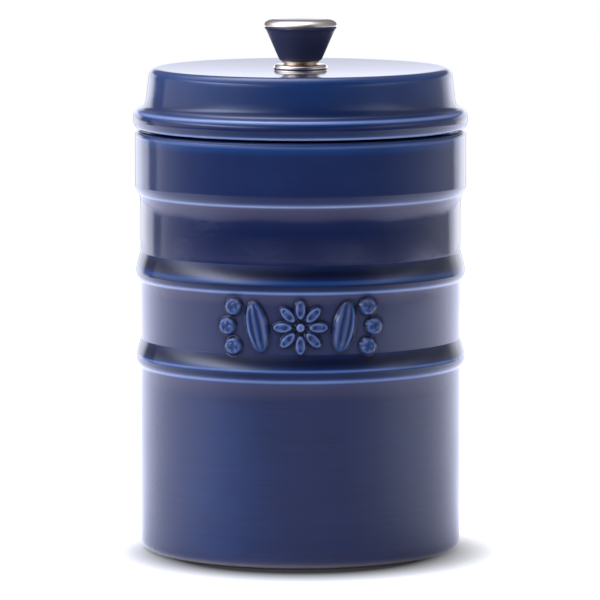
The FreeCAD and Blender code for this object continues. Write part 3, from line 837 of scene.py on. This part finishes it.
def new_material(name):
    """Material with only a Principled shader and its output."""
    material = bpy.data.materials.new(name)
    material.use_nodes = True
    return material, material.node_tree, material.node_tree.nodes["Principled BSDF"]


def mix_color(tree, share, first, second, blend="MIX"):
    """Mix of two colours or colour sockets by a share."""
    node = put(tree, "ShaderNodeMix", data_type="RGBA", blend_type=blend)
    for index, value in ((0, share), (6, first), (7, second)):
        feed(tree, value, node.inputs[index])
    return node.outputs[2]


def tinted(tree, value, tint=(1.0, 1.0, 1.0)):
    """Colour whose channels are a value times those of a tint."""
    node = put(tree, "ShaderNodeCombineColor")
    for channel, share in enumerate(tint):
        tree.links.new(math_node(tree, "MULTIPLY", value, share), node.inputs[channel])
    return node.outputs[0]


def rescaled(tree, value, low, high, new_low=0.0, new_high=1.0):
    """Value moved from one range to another and kept inside it."""
    node = put(tree, "ShaderNodeMapRange")
    tree.links.new(value, node.inputs[0])
    for index, number in enumerate((low, high, new_low, new_high)):
        node.inputs[index + 1].default_value = number
    return node.outputs[0]


def color_ramp(tree, value, stops):
    """Colour ramp with linear colour stops."""
    node = put(tree, "ShaderNodeValToRGB")
    elements = node.color_ramp.elements
    for position, _ in stops[1:-1]:
        elements.new(position)
    for element, (position, color) in zip(elements, stops):
        element.position = position
        element.color = (*color, 1.0)
    tree.links.new(value, node.inputs[0])
    return node.outputs[0]


def shared(tree, group, **values):
    """A shared effect placed in a material with its own values."""
    node = put(tree, "ShaderNodeGroup", node_tree=group)
    for key, value in values.items():
        node.inputs[key].default_value = value
    return node.outputs


def mark(tree, name):
    """Value of a mark on the mesh."""
    return put(tree, "ShaderNodeAttribute", attribute_name=name).outputs["Fac"]


def bump(tree, shader, height, distance, strength):
    """Bump on a shader from a height."""
    node = put(tree, "ShaderNodeBump", strength=strength, distance=distance)
    tree.links.new(height, node.inputs["Height"])
    tree.links.new(node.outputs[0], shader.inputs["Normal"])


print("colour helpers ready")

# %% [markdown]
# ## The glaze
# The glaze is a dark blue glass. Its colour comes from the mark of how much each spot stands out: nearly
# black where it pools, clear blue where it thins, and pale on the sharpest edges. That mark also holds
# painted
# light: pale lines of painted highlights and reflections, dark lines on the ribs that are partly painted
# shade, and a lighter painted patch low on the left. A second mark mixes in a milky grey, which is milky
# glaze and also a painted sheen. Low on the wall, below the lower rib, it was brushed: it is less glossy
# there, and fine level streaks spread the reflections. The bare foot is pale, matt stoneware, and the same
# clay colour paints a pale band of light just above it. One material serves jar and lid, because they were
# dipped in the same bucket; a second one could hold the clay, but the glaze fades into it without a seam.

# %% Navy glaze
# Colours along the glaze mark; its pale end also colours the painted highlight and reflection lines.
GLAZE_STOPS = [
    (0.00, (0.0020, 0.0040, 0.0180)),
    (0.22, (0.0070, 0.0140, 0.0560)),
    (0.40, (0.0095, 0.0215, 0.0860)),
    (0.55, (0.0120, 0.0620, 0.2150)),
    (0.75, (0.1800, 0.2350, 0.4500)),
    (1.00, (0.4000, 0.5000, 0.7400)),
]
# Grey of the milky mark: milky glaze and painted sheen.
MILKY_AND_SHEEN_COLOR = (0.095, 0.084, 0.140, 1.0)
CLAY_AND_FOOT_LIGHT_COLOR = (0.55, 0.49, 0.40, 1.0)
CLAY_ROUGH, CLAY_POWER = 0.7, 3.0
GLOSSY_ROUGH, BRUSHED_ROUGH = 0.06, 0.15
BRUSHED_TOP, BRUSHED_FADE = 0.056, 0.003
STREAK_SCALE = (35.0, 35.0, 1300.0)
STREAK_DETAIL, STREAK_RANGE, STREAK_TONE = 2.0, (0.3, 0.7), 0.09
ORANGE_PEEL, PEEL_SHARE = 0.00002, 0.5

navy_glaze, tree, shader = new_material("navy_glaze")
clouding = shared(tree, mottle_group, Scale=55.0, Amount=0.22)
glaze_color = color_ramp(tree, mark(tree, "glaze_thin"), GLAZE_STOPS)
place = object_place(tree)
brushed = rescaled(
    tree, split(tree, place)[2], BRUSHED_TOP - BRUSHED_FADE, BRUSHED_TOP + BRUSHED_FADE, 1.0, 0.0
)
flat = put(tree, "ShaderNodeMapping", scale=STREAK_SCALE)
tree.links.new(place, flat.inputs[0])
streaks = noise(tree, flat.outputs[0], 1.0, STREAK_DETAIL)
streaks = rescaled(tree, streaks, *STREAK_RANGE, -STREAK_TONE, STREAK_TONE)
tone = math_node(tree, "ADD", clouding["Value"], math_node(tree, "MULTIPLY", brushed, streaks))
glaze_color = mix_color(tree, 1.0, glaze_color, tinted(tree, tone), "MULTIPLY")
glaze_color = mix_color(tree, mark(tree, "glaze_milky"), glaze_color, MILKY_AND_SHEEN_COLOR)
# Bare clay, and the pale band above the foot, which is painted light.
bare = mark(tree, "bare_clay")
tree.links.new(mix_color(tree, bare, glaze_color, CLAY_AND_FOOT_LIGHT_COLOR), shader.inputs["Base Color"])
roughness = rescaled(tree, brushed, 0.0, 1.0, GLOSSY_ROUGH, BRUSHED_ROUGH)
roughness = math_node(tree, "MULTIPLY", roughness, tone)
matt_clay = math_node(tree, "MULTIPLY", math_node(tree, "POWER", bare, CLAY_POWER), CLAY_ROUGH)
tree.links.new(math_node(tree, "ADD", roughness, matt_clay, True), shader.inputs["Roughness"])
bump(tree, shader, clouding["Height"], ORANGE_PEEL, PEEL_SHARE)
for piece in (jar, lid):
    piece.data.materials.append(navy_glaze)
print("glaze on", jar.name, "and", lid.name)

# %% [markdown]
# ## Metal, enamel and rubber
# The knob's base and cap are polished nickel with a warm tone, and its cone is a satin blue enamel. The
# hidden fasteners are turned or plated, so they show rings round the axis. The seal is milky silicone
# and the gaskets are black rubber. Two functions make them all, one for metals and one for matt finishes.
# A plain colour on each shader would be quicker, but nothing real is as even as that.

# %% The other finishes
METAL_SPOTS = {"Scale": 120.0, "Amount": 0.15}
METAL_GRAIN, METAL_BUMP = 0.00001, 0.4
MATT_BUMP = 0.5
SILICONE_SHARE, SILICONE_DEPTH = 0.3, (0.003, 0.003, 0.003)


def metal(name, color, roughness, lines, scale):
    """Turned or polished metal: rings of hairlines round the axis vary its roughness and its surface."""
    material, tree, shader = new_material(name)
    shader.inputs["Base Color"].default_value = (*color, 1.0)
    shader.inputs["Metallic"].default_value = 1.0
    ring = shared(tree, hairline_group, Scale=scale, Amount=lines)["Value"]
    spots = shared(tree, mottle_group, **METAL_SPOTS)["Value"]
    rough = math_node(tree, "MULTIPLY", math_node(tree, "ADD", ring, roughness), spots)
    tree.links.new(rough, shader.inputs["Roughness"])
    bump(tree, shader, ring, METAL_GRAIN, METAL_BUMP)
    return material


def matt(name, color, roughness, amount, scale, grain):
    """Matt or satin finish: a mottle varies its tone and its roughness and gives a fine grain."""
    material, tree, shader = new_material(name)
    patch = shared(tree, mottle_group, Scale=scale, Amount=amount)
    tree.links.new(tinted(tree, patch["Value"], color), shader.inputs["Base Color"])
    tree.links.new(math_node(tree, "MULTIPLY", patch["Value"], roughness), shader.inputs["Roughness"])
    bump(tree, shader, patch["Height"], grain, MATT_BUMP)
    return material, shader


polished_nickel = metal("polished_nickel", (0.80, 0.70, 0.60), roughness=0.05, lines=0.05, scale=2500.0)
fastener_steel = metal("fastener_steel", (0.62, 0.62, 0.64), roughness=0.22, lines=0.2, scale=3000.0)
insert_brass = metal("insert_brass", (0.78, 0.57, 0.25), roughness=0.2, lines=0.2, scale=3000.0)
knob_enamel, _ = matt(
    "knob_enamel", (0.052, 0.058, 0.115), roughness=0.42, amount=0.12, scale=150.0, grain=0.00001
)
gasket_rubber, _ = matt(
    "gasket_rubber", (0.012, 0.012, 0.012), roughness=0.6, amount=0.25, scale=300.0, grain=0.00003
)
seal_silicone, silicone = matt(
    "seal_silicone", (0.72, 0.74, 0.72), roughness=0.4, amount=0.08, scale=200.0, grain=0.00002
)
silicone.inputs["Subsurface Weight"].default_value = SILICONE_SHARE
silicone.inputs["Subsurface Radius"].default_value = SILICONE_DEPTH

finishes = {
    knob_base: polished_nickel, knob_cap: polished_nickel, cone: knob_enamel, seal: seal_silicone,
    base_gasket: gasket_rubber, screw_gasket: gasket_rubber, screw_washer: fastener_steel,
    screw: fastener_steel,
}
for piece, material in finishes.items():
    piece.data.materials.append(material)
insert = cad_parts["knob_insert"]
insert.data.materials.clear()
insert.data.materials.append(insert_brass)
print(len(finishes) + 1, "pieces finished")

# %% [markdown]
# ## The floor
# The jar stands on a pale table, a thin disc with a closed underside. It is turned like the other pieces,
# with rings that are closer together towards the foot. A plane would do as well, but the disc comes from
# the functions that are already here.

# %% Floor
FLOOR_RADIUS, FLOOR_INNER, FLOOR_DEPTH = 1.0, 0.02, 0.004
FLOOR_RINGS, FLOOR_COLUMNS = 24, 96

ring_radius = np.concatenate([[0], np.geomspace(FLOOR_INNER, FLOOR_RADIUS, FLOOR_RINGS)])
ring_radius = ring_radius[::-1, None] / MM
floor_radius = np.concatenate([[[0.0]], ring_radius])
floor_height = np.concatenate([[[-FLOOR_DEPTH / MM]], np.zeros_like(ring_radius)])
floor = skin("floor", turned(floor_radius, floor_height, even_angles(FLOOR_COLUMNS)))

# %% [markdown]
# ## The table's finish
# The table is plain white with a soft grey shade round the foot, and it fades out almost a metre away. So
# the camera sees the lit floor with a little light of its own, and that shade is for the camera alone. The
# lower wall mirrors the table a little bluish, and dimmer in front and straight behind, so mirrored rays
# get their own brightness by the angle. One plain white would do for the table, but not for its mirror
# image.

# %% Floor finish
FLOOR_FADE = (0.80, 0.98)
FLOOR_ROUGH, FLOOR_GLOSS = 0.9, 0.1
FLOOR_TONE = 0.78
FLOOR_FILL = 0.75
DIM_FRONT, FRONT_SPAN = 0.6, (0.5, 1.3)
DIM_BEHIND, BEHIND_SPAN = 0.8, (2.9, 3.0)
SHADE_SPAN, SHADE_SHARE = (0.043, 0.069), 0.97
SHADE_AHEAD, SHADE_NARROW = 0.012, 1.067
FLOOR_SHINE = 0.85
SHINE_STOPS = [(0.27, 0.0), (0.70, 1.3), (0.78, 1.3), (0.88, 0.8), (0.98, 0.1)]
SHINE_SPAN, SHINE_SHARES = (0.15, 0.65), (0.75, 1.15)
WHITE = (1.0, 1.0, 1.0, 1.0)
MIRROR_TINT = (0.96, 0.97, 1.25, 1.0)

floor_white, tree, shader = new_material("floor_white")
shader.inputs["Roughness"].default_value = FLOOR_ROUGH
shader.inputs["Specular IOR Level"].default_value = FLOOR_GLOSS
spot = split(tree, object_place(tree))
behind = math_node(tree, "MULTIPLY", spot[1], -1.0)
aside = math_node(tree, "ABSOLUTE", math_node(tree, "ARCTAN2", spot[0], behind), 0.0)
away = length_of(tree, spot[0], spot[1])
tree.links.new(rescaled(tree, away, *FLOOR_FADE, 1.0, 0.0), shader.inputs["Alpha"])

seen = put(tree, "ShaderNodeLightPath")
mirrored = math_node(tree, "MAXIMUM", seen.outputs["Is Glossy Ray"], seen.outputs["Is Transmission Ray"])
dim_front = rescaled(tree, aside, *FRONT_SPAN, DIM_FRONT, 0.0)
dim_behind = rescaled(tree, aside, *BEHIND_SPAN, 0.0, DIM_BEHIND)
dim = math_node(tree, "MULTIPLY", mirrored, math_node(tree, "ADD", dim_front, dim_behind))
from_shade = length_of(
    tree,
    math_node(tree, "MULTIPLY", spot[0], SHADE_NARROW),
    math_node(tree, "ADD", spot[1], SHADE_AHEAD),
)
shade = rescaled(tree, from_shade, *SHADE_SPAN, SHADE_SHARE, 0.0)
shade = math_node(tree, "MULTIPLY", shade, seen.outputs["Is Camera Ray"])
shade = math_node(tree, "SUBTRACT", 1.0, math_node(tree, "ADD", shade, dim))
lit_tone = math_node(tree, "MULTIPLY", shade, FLOOR_TONE)
tree.links.new(tinted(tree, lit_tone), shader.inputs["Base Color"])

shine = color_ramp(tree, rescaled(tree, aside, 0.0, np.pi), [
    (turn, (FLOOR_SHINE * level,) * 3) for turn, level in SHINE_STOPS
])
shine = math_node(tree, "MULTIPLY", shine, rescaled(tree, away, *SHINE_SPAN, *SHINE_SHARES))
seen_shine = math_node(tree, "MULTIPLY", mirrored, shine)
seen_fill = math_node(tree, "MULTIPLY", seen.outputs["Is Camera Ray"], FLOOR_FILL)
seen_fill = math_node(tree, "MULTIPLY", seen_fill, shade)
tree.links.new(mix_color(tree, mirrored, WHITE, MIRROR_TINT), shader.inputs["Emission Color"])
tree.links.new(math_node(tree, "ADD", seen_fill, seen_shine), shader.inputs["Emission Strength"])
floor.data.materials.append(floor_white)
print("finish on", floor.name)

# %% [markdown]
# ## The tent
# The picture was taken in a white tent that is open towards the camera: the jar mirrors a dark opening in
# its middle and bright cloth at its sides. The world gives that tent, as ramps round the axis at three
# heights under a ceiling that is brighter at the left. A colour ramp keeps no level above one, so all
# levels are stored at half and the background's strength doubles them. Planes of white cloth could stand
# round the jar instead, but a ramp's level can be set for each angle.

# %% Tent
TENT_STOPS = [
    (-180, 0.30), (-173, 0.40), (-168, 1.50), (-150, 2.40), (-135, 2.00), (-129, 0.45), (-122, 0.50),
    (-118, 1.25), (-108, 0.90), (-85, 0.38), (-62, 0.10), (-40, 0.05), (0, 0.03), (40, 0.05), (62, 0.14),
    (85, 0.42), (108, 0.70), (122, 0.70), (133, 0.60), (138, 1.60), (150, 2.40), (168, 1.60), (173, 0.40),
    (180, 0.30),
]
HIGH_STOPS = [
    (-180, 0.97), (-168, 1.40), (-150, 1.90), (-145, 1.20), (-141, 0.30), (-127, 0.30), (-122, 0.90),
    (-94, 1.15), (-76, 0.85), (-58, 0.45), (-40, 0.30), (-20, 0.20), (0, 0.16), (40, 0.14), (76, 0.36),
    (94, 0.50), (122, 0.55), (131, 0.60), (137, 1.10), (150, 1.90), (168, 1.50), (180, 0.97),
]
UPPER_STOPS = [
    (-180, 0.25), (-135, 0.25), (-110, 0.45), (-62, 0.15), (-45, 0.10), (-30, 0.05), (-15, 0.03),
    (20, 0.03), (45, 0.12), (64, 0.40), (110, 0.35), (140, 0.25), (180, 0.25),
]
HIGH_FROM, UPPER_FROM, ROOF_FROM = (-0.06, 0.01), (0.12, 0.22), (0.72, 0.92)
ROOF_SPAN, ROOF_LEVELS = (-0.4, 0.3), (1.7, 0.35)
TENT_TINT = (0.95, 0.97, 1.10)
TENT_STRENGTH = 2.0

world = bpy.data.worlds.new("tent")
scene.world = world
world.use_nodes = True
tree = world.node_tree
tree.nodes.clear()
sight = split(tree, put(tree, "ShaderNodeTexCoord").outputs["Generated"])
turn_from_front = math_node(tree, "ARCTAN2", sight[0], math_node(tree, "MULTIPLY", sight[1], -1.0))
azimuth = rescaled(tree, turn_from_front, -np.pi, np.pi)


def cloth(stops):
    """Tent wall at a turn from the front in degrees: a ramp of levels in the tint of the cloth."""
    return color_ramp(tree, azimuth, [
        (0.5 + turn / 360, tuple(level / TENT_STRENGTH * tint for tint in TENT_TINT))
        for turn, level in stops
    ])


wall = mix_color(tree, rescaled(tree, sight[2], *HIGH_FROM), cloth(TENT_STOPS), cloth(HIGH_STOPS))
wall = mix_color(tree, rescaled(tree, sight[2], *UPPER_FROM), wall, cloth(UPPER_STOPS))
roof_level = rescaled(
    tree, sight[0], *ROOF_SPAN, *(level / TENT_STRENGTH for level in ROOF_LEVELS)
)
tent = mix_color(tree, rescaled(tree, sight[2], *ROOF_FROM), wall, tinted(tree, roof_level))
print("tent of", len(TENT_STOPS) + len(HIGH_STOPS) + len(UPPER_STOPS), "stops")

# %% [markdown]
# ## The light
# Soft glows behind the cloth give the lines of light on the bead, the ribs and the knob: one at the left,
# a weaker one at the right, a wide one at the left over the shoulder, one overhead and a faint one
# straight behind. The camera itself sees plain white. Area lamps could stand for the glows, but they
# would mirror as hard rectangles.

# %% Glows
KEY_GLOW = {"aside": -66, "aside_width": 32, "rise": 16.6, "rise_width": 0.09, "level": 5.0}
SIDE_GLOW = {"aside": 66, "aside_width": 30, "rise": 13, "rise_width": 0.07, "level": 0.9}
SHOULDER_GLOW = {"aside": -62, "aside_width": 48, "rise": 39, "rise_width": 0.20, "level": 1.0}
TOP_ASIDE, TOP_BEHIND, TOP_LEVEL, TOP_FROM = (-0.22, 0.40), (0.16, 0.36), 4.3, (0.3, 0.6)
BACK_BEHIND, BACK_RISE, BACK_LEVEL = (1.0, 0.02), (0.035, 0.035), 0.38
GLOW_TINT = (0.93, 1.0, 1.28)


def bell(value, middle, width):
    """Square of the distance from a middle in widths, for the exponent of a bell curve."""
    apart = math_node(tree, "DIVIDE", math_node(tree, "SUBTRACT", value, middle), width)
    return math_node(tree, "MULTIPLY", apart, apart)


def glow(first, second, level):
    """Soft light behind the cloth: a level times a bell curve in two directions."""
    fall = math_node(tree, "POWER", np.exp(-1), math_node(tree, "ADD", first, second))
    return math_node(tree, "MULTIPLY", fall, level / TENT_STRENGTH)


def wall_glow(aside, aside_width, rise, rise_width, level):
    """Glow on the wall, at a turn from the front and a rise over the horizon in degrees. The width of the
    rise is that of its sine."""
    across = bell(turn_from_front, np.radians(aside), np.radians(aside_width))
    return glow(across, bell(sight[2], np.sin(np.radians(rise)), rise_width), level)


top = glow(bell(sight[0], *TOP_ASIDE), bell(sight[1], *TOP_BEHIND), TOP_LEVEL)
top = math_node(tree, "MULTIPLY", top, rescaled(tree, sight[2], *TOP_FROM))
back = glow(bell(sight[1], *BACK_BEHIND), bell(sight[2], *BACK_RISE), BACK_LEVEL)
sides = math_node(tree, "ADD", wall_glow(**KEY_GLOW), wall_glow(**SIDE_GLOW))
glow_level = math_node(tree, "ADD", sides, math_node(tree, "ADD", top, back))
glow_level = math_node(tree, "ADD", glow_level, wall_glow(**SHOULDER_GLOW))
tent = mix_color(tree, 1.0, tent, tinted(tree, glow_level, GLOW_TINT), "ADD")
lit = put(tree, "ShaderNodeBackground", strength=TENT_STRENGTH)
tree.links.new(tent, lit.inputs["Color"])
white = put(tree, "ShaderNodeBackground")
white.inputs["Color"].default_value = WHITE
seen = put(tree, "ShaderNodeLightPath").outputs["Is Camera Ray"]
chosen = put(tree, "ShaderNodeMixShader")
for index, output in enumerate((seen, lit.outputs[0], white.outputs[0])):
    tree.links.new(output, chosen.inputs[index])
tree.links.new(chosen.outputs[0], put(tree, "ShaderNodeOutputWorld").inputs[0])
print("glows ready")

# %% [markdown]
# ## The lamp
# The open front of the tent leaves the jar's front dark, so one large lamp there fills the shade. It must
# not show as a bright square in the glaze, so mirrored rays do not see it. A brighter opening in the tent
# would fill the shade too, but the glaze would mirror it.

# %% Lamp
FILL_PLACE, FILL_AIM = (-0.10, -1.30, 0.75), (0, 0, 0.08)
FILL_SIZE, FILL_RADIANCE = 0.8, 0.65


def softbox(name, place, aim, size, radiance):
    """Square area lamp that faces a point. Its power is its radiance times its area times pi."""
    lamp = bpy.data.lights.new(name, "AREA")
    lamp.shape = "RECTANGLE"
    lamp.size, lamp.size_y = size, size
    lamp.energy = radiance * size * size * np.pi
    holder = bpy.data.objects.new(name, lamp)
    holder.location = place
    look = np.subtract(aim, place)
    holder.rotation_euler = (
        np.arccos(-look[2] / np.linalg.norm(look)), 0, np.arctan2(look[1], look[0]) - np.pi / 2
    )
    holder.visible_camera = False
    scene.collection.objects.link(holder)
    return holder


fill = softbox("fill_front", FILL_PLACE, FILL_AIM, FILL_SIZE, FILL_RADIANCE)
fill.visible_glossy = False
print("lamp ready:", fill.name)
